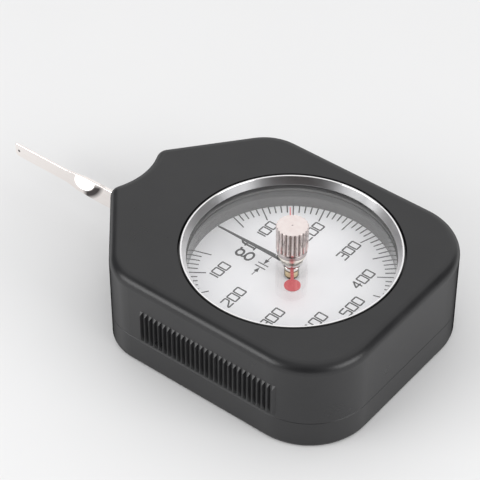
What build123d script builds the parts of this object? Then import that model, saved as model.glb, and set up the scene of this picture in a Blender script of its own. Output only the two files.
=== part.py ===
"""Dial force gauge: a sprung lever swings in a moulded case and turns the pointer over a dial.

Millimetres, +Z up. The origin is on the underside of the back cover, below the dial axis.
The lever points along -X, the tail of the case is at +X, and the grips are on the two Y sides.
"""
from math import acos, atan2, cos, pi, sin, sqrt, tan
import os

from build123d import *

# Case outline from above: the width follows from the dial well, the nose from the lever's pivot
bore_r = 25.1
plate_ledge = 2.2
tail_extra = 1.3
shoulder_reach = 27.2
nose_overhang = 13.95
nose_half_width = 8.4
hollow_depth = 2.3
tail_corner_r = 15.3
shoulder_r = 11.8
nose_corner_r = 2.8

# Case shells; the height follows from the stack inside
crystal_sink = 1.8
seam_height = 7.3
wall = 2.4
roof = 2.6
floor = 2.0
top_edge_r = 2.4
bottom_edge_r = 1.0
seam_bevel = 0.08
lip_thickness = 1.0
lip_rise = 1.4

# Clearances
fit_gap = 0.03
loose_gap = 0.1
running_gap = 0.04
clear_gap = 0.3
overrun = 1.0

# Grip ribs, moulded on both sides
rib_count = 29
rib_pitch = 1.286
rib_width = 0.74
rib_height = 0.68
rib_ridge = 0.06
rib_slope = 0.8
rib_sink = 0.1
rib_lift = 0.6
rib_length = 8.8

# Dial well, from the case bore down
well_wall = 2.9
ledge_thickness = 1.5
ledge_reach = 2.6
dial_thickness = 0.6
dial_hole_r = 1.4
dial_foot_r = 0.7
dial_foot_inset = 11.1
well_ring_height = 4.5
well_ring_thickness = 2.0
gasket_height = 0.5
gasket_width = 1.3
crystal_thickness = 1.3
bezel_wall = 0.4
bezel_face = 1.3
bezel_groove = 0.55
bezel_flange = 0.4
bezel_lip = 0.15
bezel_flat = 0.35

# Gears: the sector on the lever drives the pinion under the pointer
gear_module = 0.4
pinion_teeth = 12
sector_circle_teeth = 144
sector_teeth = 15
pressure_angle = pi / 7.2
addendum_share = 0.75
dedendum_share = 1.05
backlash = 0.1
flank_points = 5

# Movement plates, and the pillars between them: beside the sector, behind it and beside the spring
plate_lift = 1.4
plate_thickness = 1.2
plate_margin = 1.0
plate_corner_r = 3.0
plate_nose_room = 0.95
pillar_r = 1.5
pillar_front_inset = 4.9
pillar_front_room = 0.75
pillar_rear_inset = 6.0
pillar_rear_angle = 43.0
pillar_nose_room = 1.8
pillar_nose_angle = 105.0
plate_screw_r = 0.7
plate_screw_length = 3.2
plate_head_r = 1.3
plate_head_height = 0.6
driver_slot = 0.35
driver_slot_depth = 0.3
movement_screw_length = 5.0
movement_screw_angle = 30.0
movement_screw_inset = 1.9
movement_ear_r = 2.0
bush_r = 1.5

# Lever
lever_overhang = 37.95
lever_tip_height = 3.7
lever_neck_height = 3.8
lever_arm_height = 5.5
lever_inner_height = 3.6
lever_strip_thickness = 0.6
lever_arm_thickness = 0.9
lever_neck_place = 16.6
lever_top_flare = 6.0
lever_bottom_flare = 3.2
lever_ramp_start = 20.0
lever_ramp_length = 6.0
lever_tip_top_r = 0.4
lever_tip_bottom_r = 1.1
lever_edge_r = 0.2
lever_mark_r = 0.25
lever_mark_inset = 1.25
lever_step_room = 3.0
slot_side_room = 1.2
slot_end_room = 0.5
lever_shaft_r = 0.9
lever_pivot_r = 0.6
hub_collar_r = 3.2
hub_body_r = 4.2
hub_spigot_r = 2.2
hub_slot_bottom = 0.8
rivet_r = 0.4
sector_thickness = 0.8
sector_rim = 2.6
sector_spoke = 1.6
sector_edge = 1.0
sector_screw_r = 0.35
sector_screw_head_r = 0.65
sector_screw_head = 0.3
sector_screw_length = 2.0
stop_pin_r = 0.8
stop_pin_inset = 8.8

# Measuring spring, a flat strip wound around the lever's hub
spring_width = 2.5
spring_thickness = 1.15
spring_pitch = 1.7
spring_turns = 2
spring_hook = 1.1

# Pointer arbor and its hairspring
arbor_r = 0.75
arbor_pivot_r = 0.4
arbor_neck_r = 0.6
pinion_height = 1.5
collet_r = 1.4
collet_height = 1.0
collet_lift = 1.4
hairspring_width = 0.6
hairspring_thickness = 0.12
hairspring_pitch = 0.9
hairspring_turns = 5
hairspring_hook = 0.4
hairspring_stud_r = 0.6

# Main pointer
pointer_hub_lift = 0.4
pointer_hub_r = 1.65
pointer_hub_height = 2.6
pointer_head_r = 1.9
pointer_head_bevel = 0.08
pointer_cap_r = 0.95
pointer_thickness = 0.2
pointer_room = 2.37
pointer_root_width = 1.25
pointer_tip_width = 0.35
drive_pin_r = 0.2
drive_pin_place = 4.2

# Peak pointer, left where the main pointer drove it
peak_angle = 128.2
peak_gap = 0.5
peak_thickness = 0.2
peak_shortfall = 2.4
peak_root_width = 0.75
peak_tip_width = 0.24
peak_ring_r = 1.4
peak_disc_r = 1.84
peak_disc_place = 7.3
peak_hub_r = 1.5

# Reset knob and the bush that carries it in the crystal
stem_r = 1.2
stem_spigot_r = 0.8
stem_depth_in_knob = 6.8
bush_body_r = 1.75
bush_flange_r = 3.1
bush_flange_height = 0.75
nut_r = 2.5
nut_height = 0.55
nut_notch = 0.6
washer_r = 2.2
washer_thickness = 0.12
knob_r = 3.6
knob_height = 7.57
knob_neck_r = 3.4
knob_neck_height = 1.45
knob_bead = 0.2
knob_groove_height = 0.35
knob_groove_depth = 0.35
knob_bevel = 0.1
knob_flutes = 22
knob_flute_r = 0.3
knob_flute_depth = 0.26
knob_turn = 5.4
knob_dimple_r = 0.2
knob_dimple_depth = 0.1

# Screws that hold the back cover
cover_screw_inset = 6.6
cover_screw_r = 1.0
cover_screw_length = 12.0
cover_head_r = 1.9
cover_head_height = 1.2
cover_head_recess = 0.2
cover_boss_r = 2.6

# Heights of the stack, worked out from the floor up
lower_plate_z = floor + plate_lift
lower_top = lower_plate_z + plate_thickness
spring_z = lower_top + clear_gap
spring_top = spring_z + spring_width
blade_bottom = spring_top + clear_gap
lever_z = blade_bottom + lever_inner_height / 2
blade_top = blade_bottom + lever_inner_height
sector_z = blade_top + loose_gap
sector_top = sector_z + sector_thickness
upper_plate_z = sector_top + sector_screw_head + loose_gap
upper_top = upper_plate_z + plate_thickness
dial_z = upper_top + ledge_thickness
dial_top = dial_z + dial_thickness
ring_top = dial_top + well_ring_height
crystal_z = ring_top + gasket_height
crystal_top = crystal_z + crystal_thickness
case_height = crystal_top + crystal_sink
roof_z = case_height - roof
rib_bottom = seam_height + rib_lift
hub_z = dial_top + pointer_hub_lift
pointer_z = hub_z + pointer_hub_height
cap_top = pointer_z + pointer_thickness + pointer_thickness
peak_z = pointer_z + pointer_thickness + peak_gap
peak_top = peak_z + peak_thickness
nut_z = crystal_z - nut_height
knob_z = crystal_top + bush_flange_height + loose_gap
knob_top = knob_z + knob_height

# Gears: angles in radians, but for the lever's swing in degrees
pinion_pitch_r = gear_module * pinion_teeth / 2
sector_pitch_r = gear_module * sector_circle_teeth / 2
pivot_reach = pinion_pitch_r + sector_pitch_r
gear_ratio = sector_circle_teeth / pinion_teeth
lever_swing = 180 / gear_ratio
tooth_pitch_angle = 2 * pi / sector_circle_teeth
sector_half_angle = (sector_teeth + 1) / 2 * tooth_pitch_angle
sweep_angle = lever_swing * pi / 180 + sector_half_angle

# Radii and places that follow
plate_disc_r = bore_r + plate_ledge
half_width = plate_disc_r + clear_gap + wall
tail_reach = half_width + tail_extra
nose_reach = pivot_reach + nose_overhang
hollow_reach = nose_reach - hollow_depth
slant_angle = atan2(half_width - nose_half_width, nose_reach - shoulder_reach)
shoulder_x = shoulder_r * tan(slant_angle / 2) - shoulder_reach
tail_corner_x = tail_reach - tail_corner_r
lip_inset = wall + loose_gap
inside_r = bore_r - fit_gap
well_r = inside_r - well_ring_thickness
crystal_r = inside_r - bezel_wall - fit_gap
dial_foot_place = bore_r - dial_foot_inset
pointer_length = well_r - pointer_room
peak_length = pointer_length - peak_shortfall
movement_screw_ring = bore_r + movement_screw_inset
plate_nose = hollow_reach - lip_inset - lip_thickness - plate_nose_room
lever_inner_step = plate_nose - pivot_reach + lever_step_room
lever_tip = nose_reach + lever_overhang
rivet_place = (lever_shaft_r + hub_body_r) / 2
rivet_spread = lever_inner_height / 4
sector_screw_place = (hub_spigot_r + hub_body_r) / 2
stop_pin_place = sector_pitch_r - stop_pin_inset
spring_stud_r = spring_pitch - spring_thickness / 2 - loose_gap
spring_reach = hub_collar_r + fit_gap + spring_turns * spring_pitch + spring_thickness
on_base = (Align.CENTER, Align.CENTER, Align.MIN)


def polar(radius, angle):
    """A point at a distance and an angle in radians, to the left of +X."""
    return (radius * cos(angle), radius * sin(angle))


def both_sides(places):
    """Each place, and its mirror image across the case's middle."""
    return [(x, side * y) for x, y in places for side in (-1, 1)]


def pillar_places():
    """The pillars: clear of the sector's sweep, behind the arbor, and clear of the measuring spring."""
    front_r = sector_pitch_r - pillar_front_inset
    front = polar(front_r, sweep_angle + (pillar_r + pillar_front_room) / front_r)
    rear = polar(bore_r - pillar_rear_inset, pillar_rear_angle * pi / 180)
    nose = polar(spring_reach + pillar_r + pillar_nose_room, pillar_nose_angle * pi / 180)
    return both_sides([(front[0] - pivot_reach, front[1]), rear, (nose[0] - pivot_reach, nose[1])])


def cover_screw_places():
    """The cover screws, as deep in the shoulders as in the tail's corners."""
    front = polar(shoulder_r - cover_screw_inset, pi / 2 + slant_angle / 2)
    rear = polar(tail_corner_r - cover_screw_inset, pi / 4)
    return both_sides([
        (shoulder_x + front[0], half_width - shoulder_r + front[1]),
        (tail_corner_x + rear[0], half_width - tail_corner_r + rear[1]),
    ])


def disc(radius, bottom, top, x=0, y=0):
    """An upright cylinder between two heights."""
    return Pos(x, y, bottom) * Cylinder(radius, top - bottom, align=on_base)


def tube(inner, outer, bottom, top, x=0, y=0):
    """An upright round tube between two heights."""
    bore = disc(inner, bottom - overrun, top + overrun, x, y)
    return disc(outer, bottom, top, x, y) - bore


def block(x0, x1, y0, y1, z0, z1):
    """A box between two corners."""
    return Pos(x0, y0, z0) * Box(x1 - x0, y1 - y0, z1 - z0, align=(Align.MIN, Align.MIN, Align.MIN))


def turned(profile):
    """A solid turned about the Z axis from points given as radius and height."""
    wire = Polyline(*[(r, 0, z) for r, z in profile], close=True)
    return revolve(make_face(wire), Axis.Z)


def plan(inset=0):
    """The case's outline from above, pulled in evenly by the inset."""
    tips = [(-nose_reach, side * nose_half_width) for side in (-1, 1)]
    sides = Polyline(
        tips[1],
        (-shoulder_reach, half_width),
        (tail_reach, half_width),
        (tail_reach, -half_width),
        (-shoulder_reach, -half_width),
        tips[0],
    )
    hollow = ThreePointArc(tips[0], (-hollow_reach, 0), tips[1])
    face = make_face(sides + hollow)
    corners = face.vertices().group_by(Axis.X)
    face = fillet(corners[-1], tail_corner_r)
    face = fillet(face.vertices().group_by(lambda v: abs(v.X + shoulder_reach) > fit_gap)[0], shoulder_r)
    face = fillet(face.vertices().group_by(lambda v: abs(v.X + nose_reach) > fit_gap)[0], nose_corner_r)
    return offset(face, -inset) if inset else face


def side_line(x):
    """How far out the case's side lies at x, with the rounding of the shoulder and the tail."""
    if x < shoulder_x:
        return half_width - shoulder_r + sqrt(shoulder_r ** 2 - (x - shoulder_x) ** 2)
    if x > tail_corner_x:
        return half_width - tail_corner_r + sqrt(tail_corner_r ** 2 - (x - tail_corner_x) ** 2)
    return half_width


def prism(face, bottom, top):
    """A flat face raised between two heights."""
    return Pos(0, 0, bottom) * extrude(face, top - bottom)


def screw(x, y, seat, tip, shank_r, head_r, head_height, slot, slot_depth):
    """A slotted cheese-head screw: its head stands on the seat, and its shank goes to the tip."""
    up = 1 if seat > tip else -1
    head_end = seat + up * head_height
    body = disc(shank_r, min(seat, tip), max(seat, tip), x, y)
    body += disc(head_r, min(seat, head_end), max(seat, head_end), x, y)
    floor_of_slot = head_end - up * slot_depth
    slot_low = min(floor_of_slot, head_end + up * overrun)
    slot_high = max(floor_of_slot, head_end + up * overrun)
    cut = block(x - head_r - overrun, x + head_r + overrun, y - slot / 2, y + slot / 2, slot_low, slot_high)
    return body - cut


def lever_slot():
    """The opening in the nose that the lever swings in."""
    reach = nose_reach - pivot_reach
    half = reach * tan(lever_swing * pi / 180) + lever_arm_thickness / 2 + slot_side_room / 2
    low = lever_z - lever_arm_height / 2 - slot_end_room
    high = lever_z + lever_arm_height / 2 + slot_end_room
    back = hollow_reach - wall - lip_thickness - overrun
    return block(-nose_reach - overrun, -back, -half, half, low, high)


def top_case():
    """Upper shell with the dial well, the ribs, the screw bosses and the lever's slot."""
    body = prism(plan(), seam_height, case_height)
    body = fillet(body.edges().group_by(Axis.Z)[-1], top_edge_r)
    body = chamfer(body.edges().group_by(Axis.Z)[0], seam_bevel)
    body -= prism(plan(wall), seam_height - overrun, roof_z)
    body += disc(bore_r + well_wall, upper_top, roof_z + seam_bevel)
    for x, y in movement_screw_places():
        body += disc(movement_ear_r, upper_top, roof_z + seam_bevel, x, y)
    for x, y in cover_screw_places():
        body += disc(cover_boss_r, seam_height + lip_rise + loose_gap, roof_z + seam_bevel, x, y)
    body -= disc(bore_r, dial_z, case_height + overrun)
    body -= disc(bore_r - ledge_reach, upper_top - overrun, case_height + overrun)
    body -= lever_slot()
    for x, y in cover_screw_places():
        body -= disc(cover_screw_r + fit_gap, seam_height, cover_screw_length + overrun, x, y)
    for x, y in movement_screw_places():
        body -= disc(plate_screw_r + fit_gap, upper_top - overrun, screw_tip() + clear_gap, x, y)
    pocket_top = upper_top + plate_head_height + clear_gap
    for x, y in pillar_places():
        body -= disc(plate_head_r + clear_gap, upper_top - overrun, pocket_top, x, y)
    return body + ribs()


def ribs():
    """Grip ribs with a narrow ridge and sloping ends, rooted in both side walls."""
    growth = rib_sink / rib_height
    root = Rectangle(rib_width * (1 + growth), rib_length + 2 * rib_slope * growth)
    ridge = Pos(0, 0, rib_sink + rib_height) * Rectangle(rib_ridge, rib_length - 2 * rib_slope)
    rib = Plane.XZ * loft([root, ridge], ruled=True)
    middle = rib_bottom + rib_length / 2
    places = [rib_pitch * (number - (rib_count - 1) / 2) for number in range(rib_count)]
    return [
        Pos(x, y, middle) * Rot(0, 0, 180 if y > 0 else 0) * rib
        for x, y in both_sides([(x, side_line(x) - rib_sink) for x in places])
    ]


def back_cover():
    """Lower shell with a lip inside the seam and a post for each cover screw."""
    body = prism(plan(), 0, seam_height)
    body = fillet(body.edges().group_by(Axis.Z)[0], bottom_edge_r)
    body = chamfer(body.edges().group_by(Axis.Z)[-1], seam_bevel)
    body += prism(plan(lip_inset), floor, seam_height + lip_rise)
    body -= prism(plan(lip_inset + lip_thickness), floor, seam_height + lip_rise + overrun)
    body -= lever_slot()
    for x, y in cover_screw_places():
        body += disc(cover_boss_r, floor / 2, seam_height + lip_rise, x, y)
        body -= disc(cover_screw_r + loose_gap, -overrun, seam_height + lip_rise + overrun, x, y)
        body -= disc(cover_head_r + loose_gap, -overrun, cover_head_recess + cover_head_height, x, y)
    return body


def cover_screws():
    """Four screws from below, sunk in the back cover."""
    seat = cover_head_recess + cover_head_height
    return [
        screw(x, y, seat, cover_screw_length, cover_screw_r, cover_head_r, cover_head_height,
              driver_slot, driver_slot_depth)
        for x, y in cover_screw_places()
    ]


def bezel_ring():
    """Bright cone-faced ring that clamps the crystal, with a groove and a skirt around its edge."""
    lip_r = inside_r - bezel_groove - bezel_face
    face_r = inside_r - bezel_groove
    return turned([
        (lip_r, crystal_top),
        (lip_r, crystal_top + bezel_lip),
        (face_r - bezel_flat, case_height),
        (face_r, case_height),
        (face_r, crystal_top + bezel_flange),
        (inside_r, crystal_top + bezel_flange),
        (inside_r, ring_top),
        (inside_r - bezel_wall, ring_top),
        (inside_r - bezel_wall, crystal_top),
    ])


def crystal():
    """Clear flat window with a hole for the knob's bush."""
    return tube(bush_body_r + fit_gap, crystal_r, crystal_z, crystal_top)


def crystal_gasket():
    """Rubber ring between the crystal and the well ring."""
    return tube(crystal_r - gasket_width, crystal_r, ring_top, crystal_z)


def well_ring():
    """Grey ring that stands on the dial's edge and carries the crystal."""
    return tube(well_r, inside_r, dial_top, ring_top)


def dial_plate():
    """White dial with two feet in the upper plate."""
    body = tube(dial_hole_r, inside_r, dial_z, dial_top)
    for side in (-1, 1):
        body += disc(dial_foot_r, upper_plate_z + fit_gap, dial_z, side * dial_foot_place, 0)
    return body


def plate_outline():
    """What both plates share: it holds all pillars and follows the case's inside at the nose."""
    edge = pillar_r + plate_margin
    back = max(x for x, y in pillar_places()) + edge
    half = max(y for x, y in pillar_places()) + edge
    outline = Pos((back - plate_nose) / 2, 0) * Rectangle(back + plate_nose, 2 * half)
    outline = fillet(outline.vertices().group_by(Axis.X)[-1], plate_corner_r)
    return outline & plan(lip_inset + lip_thickness + clear_gap)


def plate_holes(bottom):
    """Screw, stud and bearing holes that both plates share."""
    low = bottom - overrun
    high = bottom + plate_thickness + overrun
    holes = [disc(plate_screw_r + loose_gap, low, high, x, y) for x, y in pillar_places()]
    holes.append(disc(bush_r + fit_gap, low, high))
    holes.append(disc(bush_r + fit_gap, low, high, -pivot_reach))
    return holes


def lower_plate():
    """Brass plate under the gears."""
    low = lower_plate_z - overrun
    high = lower_top + overrun
    body = prism(plate_outline(), lower_plate_z, lower_top) - plate_holes(lower_plate_z)
    for x, y in stop_pin_places():
        body -= disc(stop_pin_r + fit_gap, low, high, x, y)
    body -= disc(spring_stud_r / 2 + fit_gap, low, high, *spring_stud_place())
    return body - disc(hairspring_stud_r / 2 + fit_gap, low, high, *hairspring_stud_place())


def upper_plate():
    """Brass plate over the gears, screwed up under the dial well."""
    outline = Circle(plate_disc_r) + plate_outline()
    for x, y in movement_screw_places():
        outline += Pos(x, y) * Circle(movement_ear_r)
    outline &= plan(wall + clear_gap)
    for x, y in cover_screw_places():
        outline -= Pos(x, y) * Circle(cover_boss_r + clear_gap)
    body = prism(outline, upper_plate_z, upper_top) - plate_holes(upper_plate_z)
    for side in (-1, 1):
        body -= disc(dial_foot_r + fit_gap, upper_plate_z - overrun, upper_top + overrun,
                     side * dial_foot_place, 0)
    for x, y in movement_screw_places():
        body -= disc(plate_screw_r + loose_gap, upper_plate_z - overrun, upper_top + overrun, x, y)
    return body


def movement_screw_places():
    """Four screws on a ring, in the wall of the dial well."""
    x, y = polar(movement_screw_ring, movement_screw_angle * pi / 180)
    return both_sides([(-x, y), (x, y)])


def screw_tip():
    """The height that the movement screws reach to."""
    return upper_plate_z + movement_screw_length


def movement_screws():
    """Screws from below through the upper plate into the wall of the dial well."""
    return [
        screw(x, y, upper_plate_z, screw_tip(), plate_screw_r, plate_head_r, plate_head_height,
              driver_slot, driver_slot_depth)
        for x, y in movement_screw_places()
    ]


def plate_pillars():
    """Six pillars that hold the plates apart, tapped at both ends."""
    pillars = []
    for x, y in pillar_places():
        pillar = disc(pillar_r, lower_top, upper_plate_z, x, y)
        depth = plate_screw_length - plate_thickness + clear_gap
        pillar -= disc(plate_screw_r + fit_gap, lower_top - overrun, lower_top + depth, x, y)
        pillar -= disc(plate_screw_r + fit_gap, upper_plate_z - depth, upper_plate_z + overrun, x, y)
        pillars.append(pillar)
    return pillars


def plate_screws(seat, way):
    """Screws through one plate into the six pillars; way is 1 on top and -1 below."""
    tip = seat - way * plate_screw_length
    return [
        screw(x, y, seat, tip, plate_screw_r, plate_head_r, plate_head_height,
              driver_slot, driver_slot_depth)
        for x, y in pillar_places()
    ]


def bush(bottom, bore, x):
    """A round bearing pressed into a plate."""
    return tube(bore + running_gap, bush_r, bottom, bottom + plate_thickness, x)


def stop_pin_places():
    """Where the sector's edges meet the stops, just past the end of the scale."""
    x, y = polar(stop_pin_place, sweep_angle + (stop_pin_r + loose_gap) / stop_pin_place)
    return both_sides([(x - pivot_reach, y)])


def stop_pins():
    """Two pins on the lower plate that stop the sector."""
    return [disc(stop_pin_r, lower_plate_z, sector_top, x, y) for x, y in stop_pin_places()]


def spiral(inner_r, thickness, pitch, turns, hook, run):
    """A flat spiral strip made of half circles, with a hook inwards and a straight outer end."""
    start = inner_r + thickness / 2
    reaches = [start + step * pitch / 2 for step in range(2 * turns + 1)]
    edges = []
    for side in (-1, 1):
        for step in range(2 * turns):
            way = 1 if step % 2 == 0 else -1
            from_x = way * (reaches[step] + side * thickness / 2)
            to_x = -way * (reaches[step + 1] + side * thickness / 2)
            centre = (from_x + to_x) / 2
            radius = abs(from_x - to_x) / 2
            edges.append(ThreePointArc((from_x, 0), (centre, way * radius), (to_x, 0)))
    low, high = start - thickness / 2, start + thickness / 2
    hook_end = low - hook
    edges.append(Polyline((low, 0), (hook_end, 0), (hook_end, -thickness), (high, -thickness), (high, 0)))
    low, high = reaches[-1] - thickness / 2, reaches[-1] + thickness / 2
    edges.append(Polyline((low, 0), (low, run), (high, run), (high, 0)))
    return make_face(edges), reaches[-1]


def spring_sketch():
    """The measuring spring from above."""
    return spiral(hub_collar_r + fit_gap, spring_thickness, spring_pitch, spring_turns, spring_hook,
                  2 * spring_stud_r)


def hairspring_sketch():
    """The hairspring from above."""
    return spiral(collet_r + fit_gap, hairspring_thickness, hairspring_pitch, hairspring_turns,
                  hairspring_hook, 2 * hairspring_stud_r)


def spring_stud_place():
    """The measuring spring's outer end, ahead of the lever's pivot."""
    reach = spring_sketch()[1]
    return (-pivot_reach - spring_stud_r - loose_gap, reach)


def hairspring_stud_place():
    """The hairspring's outer end, behind the arbor."""
    reach = hairspring_sketch()[1]
    return (reach, hairspring_stud_r + loose_gap)


def main_spring():
    """Measuring spring: its hook sits in the lever's hub, its outer end in the stud."""
    face = spring_sketch()[0]
    return Pos(-pivot_reach, 0, spring_z) * Rot(0, 0, 90) * extrude(face, spring_width)


def main_spring_stud():
    """Slotted stud that holds the measuring spring's outer end."""
    x, y = spring_stud_place()
    body = disc(spring_stud_r, lower_top, spring_top, x, y)
    body += disc(spring_stud_r / 2, lower_plate_z, lower_top, x, y)
    half = spring_thickness / 2 + fit_gap
    room = spring_stud_r + overrun
    return body - block(x - room, x + room, y - half, y + half, spring_z - fit_gap, spring_top + overrun)


def hairspring():
    """Light spiral that takes the play out of the gears."""
    face = hairspring_sketch()[0]
    return prism(face, hairspring_z(), hairspring_z() + hairspring_width)


def hairspring_z():
    """The hairspring's underside, in the middle of its collet."""
    return lower_top + collet_lift + (collet_height - hairspring_width) / 2


def hairspring_stud():
    """Slotted stud that holds the hairspring's outer end."""
    x, y = hairspring_stud_place()
    top = hairspring_z() + hairspring_width
    body = disc(hairspring_stud_r, lower_top, top, x, y)
    body += disc(hairspring_stud_r / 2, lower_plate_z, lower_top, x, y)
    half = hairspring_thickness / 2 + fit_gap
    room = hairspring_stud_r + overrun
    return body - block(x - half, x + half, y - room, y + room, hairspring_z() - fit_gap, top + overrun)


def lever_side():
    """The lever from the side: distance from the pivot and height about its middle line."""
    tip = lever_tip - pivot_reach
    neck = tip - lever_neck_place
    flares = (neck - lever_top_flare, neck - lever_bottom_flare)
    edge = []
    for way, flare in zip((1, -1), flares):
        edge.append([
            (-tip, way * lever_tip_height / 2),
            (-neck, way * lever_neck_height / 2),
            (-flare, way * lever_arm_height / 2),
            (-lever_inner_step, way * lever_arm_height / 2),
            (-lever_inner_step, way * lever_inner_height / 2),
            (-hub_slot_bottom - lever_shaft_r, way * lever_inner_height / 2),
        ])
    face = make_face(Polyline(*edge[0], *reversed(edge[1]), close=True))
    ends = face.vertices().group_by(Axis.X)[0].sort_by(Axis.Y)
    low, high = ends[0], ends[-1]
    face = fillet(low, lever_tip_bottom_r)
    face = fillet(face.vertices().sort_by(lambda v: abs(v.X + tip) + abs(v.Y - high.Y))[0], lever_tip_top_r)
    bends = face.vertices().filter_by(lambda v: min(abs(v.X + x) for x in (neck, *flares)) < fit_gap)
    return fillet(bends, lever_arm_height / 2)


def lever_top():
    """The lever from above: a thin strip that swells into the arm over a smooth ramp."""
    tip = lever_tip - pivot_reach
    thin = lever_strip_thickness / 2
    thick = lever_arm_thickness / 2
    start = tip - lever_ramp_start
    end = start - lever_ramp_length
    edges = []
    for side in (-1, 1):
        edges.append(Line((-tip - overrun, side * thin), (-start, side * thin)))
        edges.append(Spline((-start, side * thin), (-end, side * thick), tangents=[(1, 0), (1, 0)]))
        edges.append(Line((-end, side * thick), (overrun, side * thick)))
    edges.append(Line((-tip - overrun, -thin), (-tip - overrun, thin)))
    edges.append(Line((overrun, -thick), (overrun, thick)))
    return make_face(edges)


def feeler_lever():
    """Polished lever blade, from its tip to the slot in the hub."""
    side = Plane.XZ * lever_side()
    body = extrude(side, lever_arm_thickness, both=True)
    body &= Pos(0, 0, -lever_arm_height) * extrude(lever_top(), 2 * lever_arm_height)
    outside = body.edges().filter_by(lambda e: e.center().X < -lever_inner_step - fit_gap)
    body = fillet(outside.filter_by(lambda e: abs(e.center().Y) > lever_strip_thickness / 3), lever_edge_r)
    mark_x = -(lever_tip - pivot_reach - lever_mark_inset)
    body -= Pos(mark_x, 0, 0) * Rot(90, 0, 0) * Cylinder(lever_mark_r, lever_arm_thickness)
    for level in (-rivet_spread, rivet_spread):
        body -= Pos(-rivet_place, 0, level) * Rot(90, 0, 0) * Cylinder(rivet_r + fit_gap, 2 * hub_body_r)
    return Pos(-pivot_reach, 0, lever_z) * body


def lever_hub():
    """Brass hub: the spring's collar below, the blade's slot in the middle, the sector's seat on top."""
    body = disc(hub_collar_r, lower_top + loose_gap, blade_bottom)
    body += disc(hub_body_r, spring_top + loose_gap, sector_z)
    body += disc(hub_spigot_r, sector_z, sector_top)
    half = lever_arm_thickness / 2 + fit_gap
    body -= block(-hub_body_r - overrun, -hub_slot_bottom - lever_shaft_r + fit_gap, -half, half,
                  blade_bottom - fit_gap, blade_top + fit_gap)
    hook_half = spring_thickness + fit_gap
    body -= block(-fit_gap, hook_half, hub_collar_r - spring_hook - fit_gap, hub_collar_r + overrun,
                  spring_z - fit_gap, spring_top + fit_gap)
    body -= disc(lever_shaft_r + fit_gap, lower_top - overrun, sector_top + overrun)
    for level in (-rivet_spread, rivet_spread):
        body -= (Pos(-rivet_place, 0, lever_z + level) * Rot(90, 0, 0)
                 * Cylinder(rivet_r + fit_gap, 2 * hub_body_r))
    for x, y in sector_screw_places():
        body -= disc(sector_screw_r + fit_gap, sector_screw_tip() - clear_gap, sector_top, x, y)
    return Pos(-pivot_reach, 0, 0) * body


def lever_rivets():
    """Two rivets across the hub and the blade."""
    length = 2 * sqrt(hub_body_r ** 2 - (rivet_place + rivet_r) ** 2)
    return [
        Pos(-pivot_reach - rivet_place, 0, lever_z + level) * Rot(90, 0, 0) * Cylinder(rivet_r, length)
        for level in (-rivet_spread, rivet_spread)
    ]


def lever_shaft():
    """Steel shaft of the lever, with a thinner pivot at each end."""
    body = disc(lever_shaft_r, lower_top + loose_gap, upper_plate_z - loose_gap)
    body += disc(lever_pivot_r, lower_plate_z, upper_top - fit_gap)
    return Pos(-pivot_reach, 0, 0) * body


def sector_screw_places():
    """Three screws around the hub's spigot."""
    return [polar(sector_screw_place, 2 * pi * number / 3) for number in range(3)]


def sector_screw_tip():
    """The height that the sector's screws reach down to."""
    return sector_top - sector_screw_length


def sector_screws():
    """Screws from above that hold the sector on the hub."""
    return [
        screw(-pivot_reach + x, y, sector_top, sector_screw_tip(), sector_screw_r, sector_screw_head_r,
              sector_screw_head, driver_slot / 2, driver_slot_depth / 2)
        for x, y in sector_screw_places()
    ]


def flank(teeth):
    """One involute flank from root to tip, as radius and angle from the tooth's middle."""
    pitch_r = gear_module * teeth / 2
    base_r = pitch_r * cos(pressure_angle)
    root_r = pitch_r - dedendum_share * gear_module
    tip_r = pitch_r + addendum_share * gear_module
    half_tooth = (pi * gear_module / 2 - backlash / 2) / 2 / pitch_r
    at_base = half_tooth + tan(pressure_angle) - pressure_angle
    start_r = max(base_r, root_r)
    points = [(root_r, at_base)] if root_r < base_r else []
    for step in range(flank_points):
        radius = start_r + (tip_r - start_r) * step / (flank_points - 1)
        angle = acos(min(base_r / radius, 1))
        points.append((radius, at_base - (tan(angle) - angle)))
    return points


def tooth_points(teeth, middle):
    """A tooth's outline, in the sense of turning left, about its middle angle."""
    rising = flank(teeth)
    both = [(r, middle - a) for r, a in rising] + [(r, middle + a) for r, a in reversed(rising)]
    return [polar(r, a) for r, a in both]


def sector_gear():
    """Toothed sector with two windows, meshed with the pinion on the line of centres."""
    points = []
    for number in range(sector_teeth):
        middle = (number - (sector_teeth - 1) / 2) * tooth_pitch_angle
        points += tooth_points(sector_circle_teeth, middle)
    root_r = sector_pitch_r - dedendum_share * gear_module
    points.append(polar(root_r, sector_half_angle))
    points.append((0, 0))
    points.append(polar(root_r, -sector_half_angle))
    body = prism(make_face(Polyline(*points, close=True)), sector_z, sector_top)
    body += disc(hub_body_r, sector_z, sector_top)
    for side in (-1, 1):
        body -= prism(sector_window(side), sector_z - overrun, sector_top + overrun)
    body -= disc(hub_spigot_r + fit_gap, sector_z - overrun, sector_top + overrun)
    for x, y in sector_screw_places():
        body -= disc(sector_screw_r + fit_gap, sector_z - overrun, sector_top + overrun, x, y)
    return Pos(-pivot_reach, 0, 0) * body


def sector_window(side):
    """One lightening window between the middle spoke and the sector's edge."""
    rim_r = sector_pitch_r - sector_rim
    near_r = hub_body_r + sector_rim
    low = sector_spoke / 2
    corners = []
    for radius in (near_r, rim_r):
        high = radius * sin(sector_half_angle) - sector_edge / cos(sector_half_angle)
        for height in (low, high):
            corners.append((radius * radius - height * height, height))
    (a, ay), (b, by), (c, cy), (d, dy) = [(sqrt(x), side * y) for x, y in corners]
    arc = ThreePointArc((c, cy), polar(rim_r, atan2(cy + dy, c + d)), (d, dy))
    if by * side < ay * side + sector_edge:
        return make_face(Polyline((d, dy), (a, ay), (c, cy)) + arc)
    return make_face(Polyline((d, dy), (b, by), (a, ay), (c, cy)) + arc)


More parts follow.
